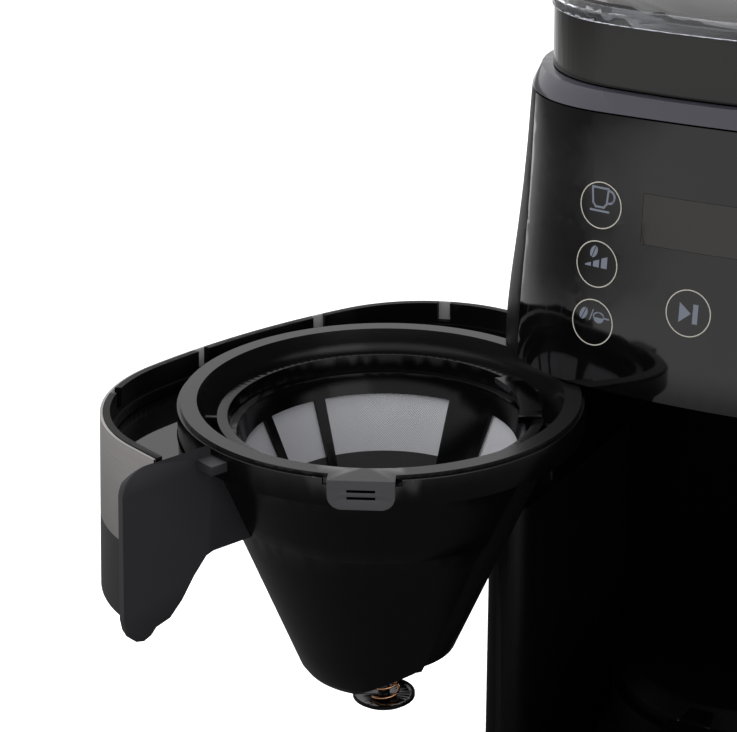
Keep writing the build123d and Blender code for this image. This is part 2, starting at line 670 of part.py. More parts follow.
def make_lids():
    write("hopper_lid", with_barrel(make_lid(-FAR, LID_SPLIT), LID_SPLIT))
    write("tank_lid", with_barrel(make_lid(LID_SPLIT + LID_GAP, BACK_Y), LID_REAR))
    for name, rear in (("hopper_lid_pin", LID_SPLIT), ("tank_lid_pin", LID_REAR)):
        write(name, cross_rod(rear + 3, LID_PIN_HIGH, BARREL_HALF + 4, LID_ROD_R))


def make_tank():
    tank = extrude(rounded(-TANK_HALF_W, TANK_HALF_W, TANK_FRONT, TANK_BACK, TANK_LOW, 16), TANK_TOP - TANK_LOW)
    inner = TANK_HALF_W - TANK_T
    tank -= extrude(
        rounded(-inner, inner, TANK_FRONT + TANK_T, TANK_BACK - TANK_T, TANK_LOW + TANK_T, 14), TANK_TOP
    )
    write("water_tank", tank - rod(-RISER_X, TANK_FRONT + 18, TANK_LOW - 1, TANK_LOW + 5, 3.5))


# ================= drawer =================
def drawer_zone(z0, z1, outer, inner, extra=0.0):
    """A layer of the drawer's wall between two insets, from the hinge side round to the end plate."""
    layer = body(z0, z1, outer) - body(z0 - 1, z1 + 1, inner)
    front = block(-FAR, FAR, -FAR, HINGE_SIDE_BACK - extra, 0, HIGH)
    return layer & (front + block(0, FAR, -FAR, DRAWER_BACK, 0, HIGH))


def wall_end_cut():
    """The slanted cut that clears the wall's low corner behind the end plate."""
    low = DRAWER_LOW - 1
    slant = Polyline((END_CUT_Y, low), (0, low), (0, END_CUT_Z), (DRAWER_BACK, END_CUT_Z), close=True)
    return extrude(make_face(Plane.YZ * slant), FAR, both=True) & block(0, FAR, -FAR, FAR, 0, HIGH)


def make_drawer_wall():
    frame = drawer_zone(DRAWER_LOW, DRAWER_TOP, SKIN + 0.1, SKIN + 0.1 + DRAWER_WALL)
    ledge = drawer_zone(TRAY_Z + 0.4, TRAY_Z + 4, SKIN + DRAWER_WALL, SKIN + DRAWER_WALL + 1.4)
    web = block(HINGE_X - 6, HINGE_X, HINGE_Y - 14, HINGE_Y, DRAWER_LOW, DRAWER_TOP)
    web &= body(DRAWER_LOW, DRAWER_TOP, SKIN + 0.1)
    knuckle = rod(HINGE_X, HINGE_Y, DRAWER_LOW, DRAWER_TOP, KNUCKLE_R) & body(DRAWER_LOW, DRAWER_TOP, SKIN + 0.1)
    frame = (frame + ledge + web + knuckle) - wall_end_cut()
    frame -= rod(HINGE_X, HINGE_Y, DRAWER_LOW - 1, DRAWER_TOP + 1, PIN_R + RUN_FIT)
    for x, y in NOTCHES:
        turn = math.degrees(math.atan2(y, x))
        slot = Pos(x, y, DRAWER_TOP) * Rot(0, 0, turn) * Box(24, NOTCH_W, 2 * NOTCH_H)
        frame -= slot
    write("door_frame", swing(frame))
    write("steel_band", swing(drawer_zone(BAND_LOW + SEAT, BAND_TOP, 0, SKIN)))
    write("lower_skirt", swing(drawer_zone(DRAWER_LOW, BAND_LOW, 0, SKIN) - wall_end_cut()))


def make_tray():
    tray = body(TRAY_Z - TRAY_T, TRAY_Z, SKIN + DRAWER_WALL + FIT)
    tray &= block(-FAR, FAR, -FAR, HINGE_SIDE_BACK - 2, 0, HIGH) + block(0, FAR, -FAR, DRAWER_BACK - SEAT, 0, HIGH)
    tray -= rod(0, 0, 0, HIGH, RIM_R + SEAT)
    tray -= rod(HINGE_X, HINGE_Y, 0, HIGH, KNUCKLE_R + FIT)
    tray -= block(HINGE_X - 20, HINGE_X + FIT, HINGE_Y - 14 - FIT, 0, 0, HIGH)
    write("tray_plate", swing(tray))


def make_end_plate():
    """The plate across the drawer's free end: a grip wing outside, and the arm that carries the cradle."""
    edge = [(PLATE_WING, DRAWER_TOP), *PLATE_EDGE, (ARM_X, PLATE_EDGE[-1][1] + 5), (ARM_X, DRAWER_TOP - 7)]
    points = edge + [(RIM_R + SEAT, DRAWER_TOP - 4), (RIM_R + SEAT, DRAWER_TOP)]
    face = make_face(Plane.XZ * Polyline(*points, close=True))
    face = fillet(face.vertices().sort_by(lambda v: v.Z + v.X)[-1], PLATE_WING_R)
    plate = Pos(0, DRAWER_BACK, 0) * extrude(face, END_PLATE_T, dir=(0, 1, 0))
    top = DRAWER_TOP
    bevel = Polyline((DRAWER_BACK, top - PLATE_BEVEL), (DRAWER_BACK + END_PLATE_T, top),
                     (DRAWER_BACK + END_PLATE_T, top + 2), (DRAWER_BACK - 2, top + 2),
                     (DRAWER_BACK - 2, top - PLATE_BEVEL), close=True)
    plate -= extrude(make_face(Plane.YZ * bevel), FAR, both=True)
    plate += block(RIM_R - 2, CLIP_X, DRAWER_BACK + END_PLATE_T - 1, CLIP_BACK, CLIP_Z, CLIP_Z + CLIP_T)
    plate -= turned(cradle_outer(0.05))
    write("end_plate", swing(plate))


def cradle_outer(grow=0.0):
    low = CRADLE_LOW
    step = CONE_STEP_R + grow
    return [(0, low), (CONE_LOW_R - 5 + grow, low), (CONE_LOW_R - 2 + grow, low + 1.2), (CONE_LOW_R + grow, low + 4),
            (step, CRADLE_STEP_Z), (step + 1, CRADLE_STEP_Z), (CONE_TOP_OUT_R + grow, TRAY_Z),
            (RIM_R + grow, TRAY_Z + 1), (RIM_R + grow, RIM_TOP), (0, RIM_TOP)]


def make_cradle():
    t = CRADLE_T
    low = CRADLE_LOW
    inner = [(0, low - 1), (CONE_LOW_R - 9, low - 1), (CONE_LOW_R - 9, low + t), (CONE_LOW_R - t - 1, low + t),
             (CONE_LOW_R - t, low + 4), (CONE_STEP_R - t, CRADLE_STEP_Z), (CONE_STEP_R + 1 - t, CRADLE_STEP_Z),
             (CONE_TOP_OUT_R - t, TRAY_Z), (RIM_IN_R, TRAY_Z + 1), (RIM_IN_R, RIM_TOP + 1), (0, RIM_TOP + 1)]
    shell = turned(cradle_outer()) - turned(inner)
    opening = Rot(0, 0, OPEN_ANGLE) * block(0, FAR, CRADLE_CUT_Y, FAR, CRADLE_LOW - 1, TRAY_Z - 1)
    low = CRADLE_LOW - 1
    slant = Polyline((CUT_LOW_X, low), (CUT_LOW_X, low + 2), (CUT_HIGH_X, CUT_HIGH_Z), (FAR, CUT_HIGH_Z), (FAR, low),
                     close=True)
    shell -= opening + Rot(0, 0, OPEN_ANGLE) * extrude(make_face(Plane.XZ * slant), FAR, both=True)
    half_gap = TAB_W / 2 + 2
    notch = Rot(0, 0, TAB_ANGLE) * block(RIM_R - 2.6, RIM_R + 5, -half_gap, half_gap, RIM_TOP - 2.4, RIM_TOP + 1)
    write("basket_cradle", swing(shell - notch))


def make_basket():
    t = BASKET_T
    low_r = BASKET_LOW_R
    outer = [(0, BASKET_FLOOR), (low_r - 8, BASKET_FLOOR), (low_r, BASKET_FLOOR + 4), (CONE_TOP_R, BASKET_CYL_LOW),
             (BASKET_R, BASKET_CYL_LOW + 3), (BASKET_R, DRAWER_TOP - RING_T), (RING_R, DRAWER_TOP - RING_T),
             (RING_R, DRAWER_TOP), (0, DRAWER_TOP)]
    inner = [(0, BASKET_FLOOR + 2), (low_r - 9, BASKET_FLOOR + 2), (low_r - t, BASKET_FLOOR + 6),
             (CONE_TOP_R - t, BASKET_CYL_LOW + 1), (RING_IN_R - t, BASKET_CYL_LOW + 4), (RING_IN_R, DRAWER_TOP + 1),
             (0, DRAWER_TOP + 1)]
    basket = turned(outer) - turned(inner)
    basket -= rod(0, 0, BASKET_FLOOR - 1, BASKET_FLOOR + 3, VALVE_HOLE_R)
    spout_low = BASKET_FLOOR - OUTLET_H
    basket += rod(0, 0, spout_low, BASKET_FLOOR, OUTLET_R) - rod(0, 0, spout_low - 1, BASKET_FLOOR + 1, OUTLET_R - 2)
    hub = rod(0, 0, spout_low, spout_low + HUB_T, SPRING_R + 1)
    for k in range(3):
        spoke = Rot(0, 0, 120 * k) * block(0, OUTLET_R - 1, -1.2, 1.2, spout_low, spout_low + HUB_T)
        hub += spoke
    basket += hub - rod(0, 0, spout_low - 1, spout_low + HUB_T + 1, STEM_R + RUN_FIT)
    basket += basket_tab()
    for k in range(FILTER_STOPS):
        stop = Rot(0, 0, 360 / FILTER_STOPS * k + 15) * block(50, RING_IN_R + 0.5, -1, 1, 262, FILTER_REST)
        basket += (stop & turned(outer)) - turned(inner_void())
    write("brew_basket", swing(basket))


def inner_void():
    """The space inside the basket that the permanent filter's rim hangs in."""
    reach = FILTER_R - 1.4
    return [(0, FILTER_LOW), (reach, FILTER_LOW), (reach, DRAWER_TOP), (0, DRAWER_TOP)]


def basket_tab():
    """The thumb tab on the basket's ring, with two grip slots."""
    low = DRAWER_TOP - 11
    tab = block(RING_R - 1, RIM_R + 3.6, -TAB_W / 2, TAB_W / 2, DRAWER_TOP - RING_T, DRAWER_TOP)
    lip = block(RIM_R + 1, RIM_R + 3.6, -TAB_W / 2, TAB_W / 2, low, DRAWER_TOP)
    lip = fillet([e for e in lip.edges() if abs(e.tangent_at(0).X) > 0.99 and e.center().Z < low + 1], 5)
    for z in (DRAWER_TOP - 4, DRAWER_TOP - 6.6):
        lip -= block(RIM_R + 3, RIM_R + 5, -5, 5, z - 0.5, z + 0.5)
    return Rot(0, 0, TAB_ANGLE) * (tab + lip)


# ================= drip stop =================
def make_valve():
    disc = turned([(0, VALVE_Z), (VALVE_DISC_R - 2, VALVE_Z), (VALVE_DISC_R, VALVE_Z + 1.4), (VALVE_DISC_R, STOP_LOW),
                   (VALVE_DISC_R - 1.4, STOP_LOW), (VALVE_DISC_R - 2, STOP_LOW - 0.8), (0, STOP_LOW - 0.8)])
    stem = rod(0, 0, VALVE_Z + 1, SEAL_LOW, STEM_R)
    write("valve_plunger", swing(disc + stem))
    write("valve_seal", swing(rod(0, 0, SEAL_LOW, SEAL_LOW + SEAL_T, SEAL_R)))
    spring_low = STOP_LOW - 0.8 + WIRE_R + 0.1
    spring_top = BASKET_FLOOR - OUTLET_H - WIRE_R - 0.1
    path = Helix(pitch=(spring_top - spring_low) / 3.5, height=spring_top - spring_low, radius=SPRING_R)
    path = Pos(0, 0, spring_low) * path
    coil = sweep(Plane(path @ 0, z_dir=path % 0) * Circle(WIRE_R), path=path, is_frenet=True)
    write("valve_spring", swing(coil))


# ================= permanent filter =================
def filter_cone_r(z):
    """Outer radius of the filter's cone at a height."""
    share = (z - FILTER_LOW) / (FILTER_BAND_Z - FILTER_LOW)
    return FILTER_LOW_R + (FILTER_STEP_R - FILTER_LOW_R) * share


def make_filter():
    t = FILTER_T
    outer = [(0, FILTER_LOW), (FILTER_LOW_R, FILTER_LOW), (FILTER_STEP_R, FILTER_BAND_Z), (FILTER_R - 2, FILTER_BAND_Z),
             (FILTER_R - 2, FILTER_REST), (FILTER_R, FILTER_REST), (FILTER_R, FILTER_Z), (0, FILTER_Z)]
    inner = [(0, FILTER_LOW - 1), (FILTER_LOW_R - t, FILTER_LOW - 1), (FILTER_LOW_R - t, FILTER_LOW),
             (FILTER_STEP_R - t, FILTER_BAND_Z), (FILTER_STEP_R - t, FILTER_BAND_Z + t),
             (FILTER_R - 2 - t, FILTER_BAND_Z + t),
             (FILTER_R - 2 - t, FILTER_Z + 1), (0, FILTER_Z + 1)]
    frame = turned(outer) - turned(inner)
    low = FILTER_LOW + 4
    for side in (-1, 1):
        for start, end in FILTER_WINDOWS:
            first = FILTER_FACE + (start if side > 0 else -end)
            face = make_face(Plane.XZ * Polyline((3, low), (FILTER_R + 9, low), (FILTER_R + 9, FILTER_MESH_TOP),
                                                 (3, FILTER_MESH_TOP), close=True))
            frame -= Rot(0, 0, first) * revolve(face, Axis.Z, end - start)
    frame += rod(0, 0, FILTER_LOW, FILTER_LOW + t, FILTER_LOW_R) - rod(0, 0, 0, HIGH, FILTER_LOW_R - 6)
    frame += rod(0, 0, FILTER_LOW, FILTER_LOW + t, 5)
    for k in range(FILTER_RIBS):
        frame += Rot(0, 0, 360 / FILTER_RIBS * k) * block(3, FILTER_LOW_R - 5, -1.2, 1.2, FILTER_LOW, FILTER_LOW + t)
    frame += filter_handle()
    write("filter_frame", swing(frame))
    low, top = FILTER_LOW - MESH_GAP - MESH_T, FILTER_BAND_Z - 2
    grow = MESH_GAP + MESH_T
    mesh_out = [(0, low), (filter_cone_r(FILTER_LOW) + grow, low), (filter_cone_r(top) + grow, top), (0, top)]
    mesh_in = [(0, low + MESH_T), (filter_cone_r(FILTER_LOW) + MESH_GAP, low + MESH_T),
               (filter_cone_r(top) + MESH_GAP, top + 0.001), (0, top + 0.001)]
    write("filter_mesh", swing(turned(mesh_out) - turned(mesh_in)))


def filter_handle():
    """A flat lug on the filter's rim to lift it by."""
    lug = turned([(FILTER_R - 9, FILTER_Z - 1), (FILTER_R - 1, FILTER_Z - 1), (FILTER_R - 1, FILTER_Z + 1.6),
                  (FILTER_R - 9, FILTER_Z + 1.6)])
    return lug & (Rot(0, 0, 150) * block(FILTER_R / 2, FAR, -LUG_HALF_W, LUG_HALF_W, 0, HIGH))


# ================= jug =================
def make_jug():
    t = JUG_T
    outer_pts = [(0, JUG_LOW), (JUG_R - 12, JUG_LOW), (JUG_R - 3, JUG_LOW + 10), (JUG_R, JUG_LOW + 32),
                 (JUG_R - 3, JUG_LOW + 60), (JUG_R - 11, JUG_LOW + 88), (JUG_NECK_R, JUG_TOP - 10),
                 (JUG_NECK_R, JUG_TOP), (0, JUG_TOP)]
    inner_pts = [(0, JUG_LOW + t), (JUG_R - 12 - t, JUG_LOW + t), (JUG_R - 3 - t, JUG_LOW + 11),
                 (JUG_R - t, JUG_LOW + 32), (JUG_R - 3 - t, JUG_LOW + 60), (JUG_R - 11 - t, JUG_LOW + 88),
                 (JUG_NECK_R - t, JUG_TOP - 10), (JUG_NECK_R - t, JUG_TOP + 1), (0, JUG_TOP + 1)]
    write("carafe_body", turned(outer_pts) - turned(inner_pts))


def make_jug_fittings():
    band = rod(0, 0, BAND_Z0, BAND_Z1, BAND_R) - rod(0, 0, BAND_Z0 - 1, JUG_TOP + SEAT, JUG_NECK_R + SEAT)
    band -= rod(0, 0, JUG_TOP, BAND_Z1 + 1, JUG_NECK_R - 4)
    write("carafe_band", band)
    pts = [(-BAND_R - SEAT, BAND_Z0), (-BAND_R - SEAT, BAND_Z1 + 4), (-62, LID_PIN_Z + 4),
           (-80, LID_PIN_Z + 4), (GRIP_Y - 4, LID_PIN_Z - 8), (GRIP_Y - 6, GRIP_LOW + 51), (GRIP_Y, GRIP_LOW + 22),
           (-84, GRIP_LOW), (-76, GRIP_LOW + 6), (-80, GRIP_LOW + 28), (-84, GRIP_LOW + 49),
           (-78, LID_PIN_Z - 18), (-68, BAND_Z0 + 4)]
    grip = extrude(make_face(Plane.YZ * Polyline(*pts, close=True)), GRIP_HALF_W, both=True)
    grip = fillet([e for e in grip.edges() if abs(e.tangent_at(0).X) < 0.1 and e.center().Y < -60], GRIP_EDGE_R)
    slot = block(-5.4, 5.4, LID_PIN_Y - 4.4, LID_PIN_Y + 10, BAND_Z1 + SEAT, HIGH)
    grip -= slot + rod(0, 0, 0, HIGH, BAND_R + SEAT)
    grip -= Pos(0, LID_PIN_Y, LID_PIN_Z) * Rot(0, 90, 0) * Cylinder(LID_PIN_R + RUN_FIT, 14)
    write("carafe_handle", grip)
    write("carafe_lid_pin", Pos(0, LID_PIN_Y, LID_PIN_Z) * Rot(0, 90, 0) * Cylinder(LID_PIN_R, 14 - 2 * SEAT))
    low = BAND_Z1 + FIT
    lid = turned([(0, low), (JUG_NECK_R - 1, low), (JUG_NECK_R - 1, low + 4), (JUG_NECK_R - 6, low + 11),
                  (JUG_NECK_R - 20, low + 15), (0, low + 16)])
    lid -= turned([(0, low - 1), (JUG_NECK_R - 3.4, low - 1), (JUG_NECK_R - 3.4, low + 3), (JUG_NECK_R - 8, low + 9),
                   (JUG_NECK_R - 21, low + 12.6), (0, low + 13.6)])
    lid -= rod(0, 0, low + 10, low + 20, 5)
    arm = block(-5, 5, LID_PIN_Y, -JUG_NECK_R + 4, LID_PIN_Z - 3, LID_PIN_Z + 3)
    arm += Pos(0, LID_PIN_Y, LID_PIN_Z) * Rot(0, 90, 0) * Cylinder(3.2, 10)
    lid += arm
    lid -= Pos(0, LID_PIN_Y, LID_PIN_Z) * Rot(0, 90, 0) * Cylinder(LID_PIN_R + RUN_FIT, 14)
    write("carafe_lid", lid)


make_base()
make_cover()
make_heating()
make_shower()
make_shells()
make_head()
make_panel()
make_electronics()
make_top()
make_hopper()
make_grinder()
make_lids()
make_tank()
make_drawer_wall()
make_tray()
make_end_plate()
make_cradle()
make_basket()
make_valve()
make_filter()
make_jug()
make_jug_fittings()
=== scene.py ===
import json
import math

import bmesh
import bpy
from mathutils import Matrix, Vector
from mathutils.bvhtree import BVHTree

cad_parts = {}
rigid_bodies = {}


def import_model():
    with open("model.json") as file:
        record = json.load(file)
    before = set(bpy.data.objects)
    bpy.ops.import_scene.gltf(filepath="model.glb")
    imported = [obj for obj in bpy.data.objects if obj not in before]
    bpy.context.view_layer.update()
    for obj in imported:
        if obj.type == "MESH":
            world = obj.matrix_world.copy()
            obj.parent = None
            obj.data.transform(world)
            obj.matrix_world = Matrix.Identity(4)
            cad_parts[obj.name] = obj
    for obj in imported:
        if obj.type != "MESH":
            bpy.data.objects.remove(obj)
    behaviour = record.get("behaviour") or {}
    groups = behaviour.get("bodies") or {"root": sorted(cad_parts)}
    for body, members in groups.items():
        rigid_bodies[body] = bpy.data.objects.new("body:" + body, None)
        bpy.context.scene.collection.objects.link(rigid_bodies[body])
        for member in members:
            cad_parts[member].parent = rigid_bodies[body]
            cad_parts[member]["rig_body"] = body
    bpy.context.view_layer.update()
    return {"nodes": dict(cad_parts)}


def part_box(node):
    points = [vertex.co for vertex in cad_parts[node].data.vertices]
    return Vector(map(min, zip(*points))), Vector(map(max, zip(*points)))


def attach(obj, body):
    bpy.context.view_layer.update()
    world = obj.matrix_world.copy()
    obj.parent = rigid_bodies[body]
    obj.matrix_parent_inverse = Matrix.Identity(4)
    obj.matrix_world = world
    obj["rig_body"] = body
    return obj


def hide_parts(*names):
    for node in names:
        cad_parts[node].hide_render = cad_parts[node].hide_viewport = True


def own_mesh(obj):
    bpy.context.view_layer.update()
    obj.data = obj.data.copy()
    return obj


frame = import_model()
scene = bpy.context.scene
scene.view_settings.view_transform = "Standard"


# ---------------- sizes ----------------
MM = 0.001
WELD = 1e-6
CREASE = math.radians(35.0)

# distances from the basket's upright axis
TAB_START = 77.0 * MM
GRIP_FLOOR = (79.1 * MM, 79.55 * MM)
RIM_START = 58.0 * MM

RIM_SPREAD = 0.3 * MM
MESH_SHOWN = 25.5 * MM
WEAVE_PITCH = 0.9 * MM
WIRES_ROUND = 300.0
COLLAR_SHADE_HEIGHT = 0.6 * MM
COLUMN_SHELL = 9.0 * MM

PRINT_LIFT = 0.04 * MM
PRINT_STEP = 1.2 * MM
RING_PAST_KEY = 0.15 * MM
RING_INSIDE_KEY = 0.25 * MM
BEFORE_PANEL = -0.3

CLEAR_PLASTIC_IOR = 1.49
BRUSHED_ANISOTROPY = 0.6


def centre_of(box):
    return Vector([sum(ends) / 2 for ends in zip(*box)])


MESH_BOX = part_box("filter_mesh")
AXIS = centre_of(MESH_BOX)


# ---------------- node helpers ----------------
def feed(tree, socket, value):
    """Link a socket to another node's output, or set its own value."""
    if hasattr(value, "links"):
        tree.links.new(value, socket)
    else:
        socket.default_value = value


def math_node(tree, operation, *values):
    node = tree.nodes.new("ShaderNodeMath")
    node.operation = operation
    for socket, value in zip(node.inputs, values):
        feed(tree, socket, value)
    return node.outputs[0]


def noise(tree, vector, scale, detail=2.0):
    node = tree.nodes.new("ShaderNodeTexNoise")
    node.inputs["Detail"].default_value = detail
    tree.links.new(vector, node.inputs["Vector"])
    feed(tree, node.inputs["Scale"], scale)
    return node.outputs["Fac"]


def span(tree, value, low, high):
    """A value between 0 and 1, spread over low to high."""
    node = tree.nodes.new("ShaderNodeMapRange")
    tree.links.new(value, node.inputs["Value"])
    feed(tree, node.inputs["To Min"], low)
    feed(tree, node.inputs["To Max"], high)
    return node.outputs["Result"]


def ease(tree, value, start, end, low, high):
    """A value that passes softly from low to high as it goes from start to end."""
    eased = span(tree, value, low, high)
    eased.node.interpolation_type = "SMOOTHSTEP"
    eased.node.inputs["From Min"].default_value = start
    eased.node.inputs["From Max"].default_value = end
    return eased


def blend_color(tree, factor, a, b):
    node = tree.nodes.new("ShaderNodeMix")
    node.data_type = "RGBA"
    tree.links.new(factor, node.inputs[0])
    feed(tree, node.inputs[6], a)
    feed(tree, node.inputs[7], b)
    return node.outputs[2]


# ---------------- shared shader groups ----------------
GIVEN_OUT = (("Color", "NodeSocketColor"), ("Roughness", "NodeSocketFloat"), ("Height", "NodeSocketFloat"))


def new_group(name, inputs):
    """A group that gives a colour, a roughness and a height for a bump."""
    group = bpy.data.node_groups.new(name, "ShaderNodeTree")
    group.interface.new_socket(name="Vector", in_out="INPUT", socket_type="NodeSocketVector")
    for label, kind, value in inputs:
        socket = group.interface.new_socket(name=label, in_out="INPUT", socket_type=kind)
        socket.default_value = value
    for label, kind in GIVEN_OUT:
        group.interface.new_socket(name=label, in_out="OUTPUT", socket_type=kind)
    return group, group.nodes.new("NodeGroupInput"), group.nodes.new("NodeGroupOutput")


def make_moulding():
    """Moulded plastic: a fine spark grain, slow colour drift and handling marks."""
    group, given, out = new_group("moulded_grain", [
        ("Color", "NodeSocketColor", (0.03, 0.03, 0.03, 1)),
        ("Roughness", "NodeSocketFloat", 0.4),
        ("Spread", "NodeSocketFloat", 0.08),
        ("Grain", "NodeSocketFloat", 2600.0),
        ("Drift", "NodeSocketFloat", 0.12),
    ])
    slow = noise(group, given.outputs["Vector"], 18.0)
    fine = noise(group, given.outputs["Vector"], given.outputs["Grain"], 1.0)
    marks = noise(group, given.outputs["Vector"], 70.0, 5.0)
    lift = math_node(group, "MULTIPLY", given.outputs["Drift"], math_node(group, "SUBTRACT", slow, 0.5))
    shade = group.nodes.new("ShaderNodeVectorMath")
    shade.operation = "SCALE"
    group.links.new(given.outputs["Color"], shade.inputs[0])
    group.links.new(math_node(group, "ADD", lift, 1.0), shade.inputs["Scale"])
    group.links.new(shade.outputs[0], out.inputs["Color"])
    swing = math_node(group, "MULTIPLY", given.outputs["Spread"], math_node(group, "SUBTRACT", marks, 0.5))
    group.links.new(math_node(group, "ADD", given.outputs["Roughness"], swing), out.inputs["Roughness"])
    group.links.new(fine, out.inputs["Height"])
    return group


def make_brushing():
    """Brushed metal: long fine scratches that run round the piece, level with the table."""
    group, given, out = new_group("brushed_lines", [
        ("Dark", "NodeSocketColor", (0.4, 0.4, 0.4, 1)),
        ("Light", "NodeSocketColor", (0.6, 0.6, 0.6, 1)),
        ("Roughness", "NodeSocketFloat", 0.3),
    ])
    stretch = group.nodes.new("ShaderNodeMapping")
    stretch.inputs["Scale"].default_value = (18.0, 18.0, 5200.0)
    group.links.new(given.outputs["Vector"], stretch.inputs["Vector"])
    lines = noise(group, stretch.outputs[0], 1.0, 3.0)
    tone = blend_color(group, lines, given.outputs["Dark"], given.outputs["Light"])
    group.links.new(tone, out.inputs["Color"])
    rough = math_node(group, "ADD", given.outputs["Roughness"], span(group, lines, -0.06, 0.06))
    group.links.new(rough, out.inputs["Roughness"])
    group.links.new(lines, out.inputs["Height"])
    return group


MOULDING = make_moulding()
BRUSHING = make_brushing()


# ---------------- materials ----------------
def start_material(name):
    material = bpy.data.materials.new(name)
    material.use_nodes = True
    tree = material.node_tree
    coords = tree.nodes.new("ShaderNodeTexCoord")
    return material, tree, tree.nodes["Principled BSDF"], coords.outputs["Object"]


def place_group(tree, shader, group, vector, **values):
    """A shared group with a material's own values; returns its height for a bump."""
    node = tree.nodes.new("ShaderNodeGroup")
    node.node_tree = group
    tree.links.new(vector, node.inputs["Vector"])
    for label, value in values.items():
        node.inputs[label].default_value = value
    tree.links.new(node.outputs["Color"], shader.inputs["Base Color"])
    tree.links.new(node.outputs["Roughness"], shader.inputs["Roughness"])
    return node.outputs["Height"]


def add_bump(tree, shader, height, distance):
    bump = tree.nodes.new("ShaderNodeBump")
    bump.inputs["Distance"].default_value = distance
    tree.links.new(height, bump.inputs["Height"])
    tree.links.new(bump.outputs[0], shader.inputs["Normal"])


def plastic(name, color, rough, spread=0.08, depth=0.02 * MM, drift=0.12, specular=0.5, metal=0.0):
    material, tree, shader, vector = start_material(name)
    height = place_group(
        tree, shader, MOULDING, vector, Color=(*color, 1), Roughness=rough, Spread=spread, Drift=drift)
    shader.inputs["Specular IOR Level"].default_value = specular
    shader.inputs["Metallic"].default_value = metal
    if depth:
        add_bump(tree, shader, height, depth)
    return material


def brushed(name, dark, light, rough):
    material, tree, shader, vector = start_material(name)
    height = place_group(tree, shader, BRUSHING, vector, Dark=(*dark, 1), Light=(*light, 1), Roughness=rough)
    shader.inputs["Metallic"].default_value = 1.0
    shader.inputs["Anisotropic"].default_value = BRUSHED_ANISOTROPY
    add_bump(tree, shader, height, 0.012 * MM)
    return material


def clear(name, color, rough):
    """See-through plastic with faint smears."""
    material, tree, shader, vector = start_material(name)
    smear = noise(tree, vector, 60.0, 4.0)
    tree.links.new(span(tree, smear, rough * 0.6, rough * 1.6), shader.inputs["Roughness"])
    tint = blend_color(tree, smear, (*color, 1), tuple(0.97 * c for c in color) + (1,))
    tree.links.new(tint, shader.inputs["Base Color"])
    shader.inputs["IOR"].default_value = CLEAR_PLASTIC_IOR
    shader.inputs["Transmission Weight"].default_value = 1.0
    return material


def woven(name, wire, gap, solid, sill):
    """Fine metal mesh: wires run round the basket's axis and down it, and below the sill it is solid."""
    material, tree, shader, vector = start_material(name)
    shift = tree.nodes.new("ShaderNodeMapping")
    shift.inputs["Location"].default_value = (-AXIS.x, -AXIS.y, 0)
    tree.links.new(vector, shift.inputs["Vector"])
    parts = tree.nodes.new("ShaderNodeSeparateXYZ")
    tree.links.new(shift.outputs[0], parts.inputs[0])
    turn = math_node(tree, "ARCTAN2", parts.outputs["Y"], parts.outputs["X"])
    rounds = math_node(tree, "MULTIPLY", parts.outputs["Z"], 2 * math.pi / WEAVE_PITCH)
    downs = math_node(tree, "MULTIPLY", turn, WIRES_ROUND)
    weave = math_node(tree, "MULTIPLY", math_node(tree, "SINE", rounds), math_node(tree, "SINE", downs))
    factor = span(tree, math_node(tree, "ADD", weave, 1.0), 0.0, 0.5)
    blot = noise(tree, vector, 40.0, 3.0)
    worn = tuple(0.75 * c for c in wire) + (1,)
    stained = blend_color(tree, span(tree, blot, -0.2, 0.8), (*wire, 1), worn)
    cloth = blend_color(tree, factor, (*gap, 1), stained)
    above = math_node(tree, "GREATER_THAN", parts.outputs["Z"], sill)
    tree.links.new(blend_color(tree, above, (*solid, 1), cloth), shader.inputs["Base Color"])
    tree.links.new(span(tree, blot, 0.35, 0.55), shader.inputs["Roughness"])
    tree.links.new(span(tree, above, 0.0, 0.35), shader.inputs["Metallic"])
    add_bump(tree, shader, weave, 0.06 * MM)
    return material


# head, collar, body, lids and prints
GLOSS = plastic("gloss_black", (0.003, 0.003, 0.0032), 0.06, 0.04, depth=0, drift=0.2)
DISPLAY = plastic("display_glass", (0.020, 0.017, 0.015), 0.1, 0.04, depth=0)
HEAD = plastic("head_black", (0.006, 0.006, 0.0065), 0.42, specular=0.1)
EDGE = plastic("shoulder_black", (0.009, 0.0085, 0.014), 0.12, 0.05, depth=0, specular=0.6)
# painted highlight: a paler violet-grey copy of the shoulder's black for its upward-facing slope, where the
# overhead light falls
SHOULDER_PAINTED_HIGHLIGHT = plastic("shoulder_slope_painted_highlight", (0.060, 0.057, 0.076), 0.14, 0.05, depth=0, specular=0.6)
BAND = plastic("collar_black", (0.0125, 0.011, 0.010), 0.16, 0.05, depth=0, specular=0.4)
# painted shade: pure black with no gloss for the walls of the tab's grip slots and a thin strip at the
# collar's foot, where shade falls in the gaps
PAINTED_GAP_SHADE = plastic("painted_gap_shade", (0.0008, 0.0008, 0.0008), 0.8, depth=0, specular=0.0)
SATIN = plastic("satin_black", (0.011, 0.0105, 0.0108), 0.4, specular=0.3)
SHELL = plastic("shell_black", (0.004, 0.004, 0.004), 0.4, specular=0.1)
# painted shade: a darker, almost unglossy copy of the satin black for the jug bay's walls, where shade falls
BAY_PAINTED_SHADE = plastic("bay_painted_shade", (0.0008, 0.0008, 0.0008), 0.6, specular=0.02)
LID = clear("lid_clear", (0.93, 0.94, 1.0), 0.012)
SMOKE = clear("smoked_plastic", (0.12, 0.12, 0.13), 0.05)
PRINT = plastic("cream_print", (0.78, 0.74, 0.66), 0.45, depth=0)
ICON = plastic("pale_print", (0.26, 0.29, 0.36), 0.45, depth=0)

